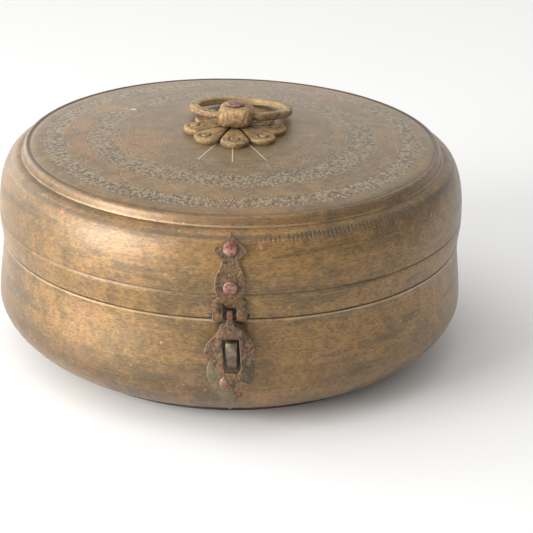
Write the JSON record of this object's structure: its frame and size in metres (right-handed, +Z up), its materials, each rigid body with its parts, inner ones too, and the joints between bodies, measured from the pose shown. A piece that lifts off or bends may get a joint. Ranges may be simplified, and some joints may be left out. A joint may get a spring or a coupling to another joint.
{
  "type": "hinged round spice box",
  "caption": "Round brass spice box with a hinged domed lid, hasp and staple, rosette with a ring handle, and loose inner cups.",
  "frame": {"origin": "on the floor, under the middle of the box", "axes": "+Z up, the hasp faces -Y, the lid hinge is at +Y"},
  "size_m": [0.2506, 0.27, 0.1324],
  "materials": {
    "aged_brass": "old turned brass with brown patina, worn and scratched",
    "inner_brass": "duller clean turned brass, inside surfaces",
    "cast_brass": "cast and filed brass, rubbed on its edges",
    "strap_bronze": "hammered strap brass with a rough grey-brown patina",
    "copper": "hammered copper rivet with pink-red tarnish",
    "steel": "old filed iron, grey"
  },
  "bodies": {
    "base": {"base_bowl": "aged_brass", "base_foot_ring": "aged_brass", "base_collar": "inner_brass", "hasp_plate": "strap_bronze", "hasp_plate_rivet": "copper", "hasp_staple": "steel", "rear_hinge_base_leaf": "strap_bronze", "rear_hinge_base_rivet_1": "copper", "rear_hinge_base_rivet_2": "copper", "rear_hinge_pin": "steel"},
    "lid": {"lid_shell": "aged_brass", "hasp_strap": "strap_bronze", "hasp_strap_rivet_upper": "copper", "hasp_strap_rivet_lower": "copper", "hasp_pin": "steel", "handle_rosette": "cast_brass", "handle_boss": "cast_brass", "handle_rivet": "copper", "handle_washer": "inner_brass", "rear_hinge_lid_leaf": "strap_bronze", "rear_hinge_lid_rivet_1": "copper", "rear_hinge_lid_rivet_2": "copper"},
    "hasp": {"hasp_flap": "strap_bronze"},
    "ring": {"handle_ring": "cast_brass"},
    "cup_1": {"spice_cup_1": "inner_brass"},
    "cup_2": {"spice_cup_2": "inner_brass"},
    "cup_3": {"spice_cup_3": "inner_brass"},
    "cup_4": {"spice_cup_4": "inner_brass"},
    "cup_5": {"spice_cup_5": "inner_brass"},
    "cup_6": {"spice_cup_6": "inner_brass"},
    "cup_7": {"spice_cup_7": "inner_brass"}
  },
  "joints": [
    {"name": "lid_hinge", "type": "hinge", "parent": "base", "child": "lid", "pos_m": [0, 0.13, 0.063], "axis": [-1, 0, 0], "range_deg": [0, 105]},
    {"name": "hasp_swing", "type": "hinge", "parent": "lid", "child": "hasp", "pos_m": [0, -0.128, 0.0674], "axis": [-1, 0, 0], "range_deg": [-8, 150]},
    {"name": "ring_swing", "type": "hinge", "parent": "lid", "child": "ring", "pos_m": [0.001, 0, 0.1248], "axis": [0.9903, -0.1392, 0], "range_deg": [0, 194]},
    {"name": "spice_cup_1_lift", "type": "slide", "parent": "base", "child": "cup_1", "axis": [0, 0, 1], "range_m": [0, 0.04]},
    {"name": "spice_cup_2_lift", "type": "slide", "parent": "base", "child": "cup_2", "axis": [0, 0, 1], "range_m": [0, 0.04]},
    {"name": "spice_cup_3_lift", "type": "slide", "parent": "base", "child": "cup_3", "axis": [0, 0, 1], "range_m": [0, 0.04]},
    {"name": "spice_cup_4_lift", "type": "slide", "parent": "base", "child": "cup_4", "axis": [0, 0, 1], "range_m": [0, 0.04]},
    {"name": "spice_cup_5_lift", "type": "slide", "parent": "base", "child": "cup_5", "axis": [0, 0, 1], "range_m": [0, 0.04]},
    {"name": "spice_cup_6_lift", "type": "slide", "parent": "base", "child": "cup_6", "axis": [0, 0, 1], "range_m": [0, 0.04]},
    {"name": "spice_cup_7_lift", "type": "slide", "parent": "base", "child": "cup_7", "axis": [0, 0, 1], "range_m": [0, 0.04]}
  ]
}
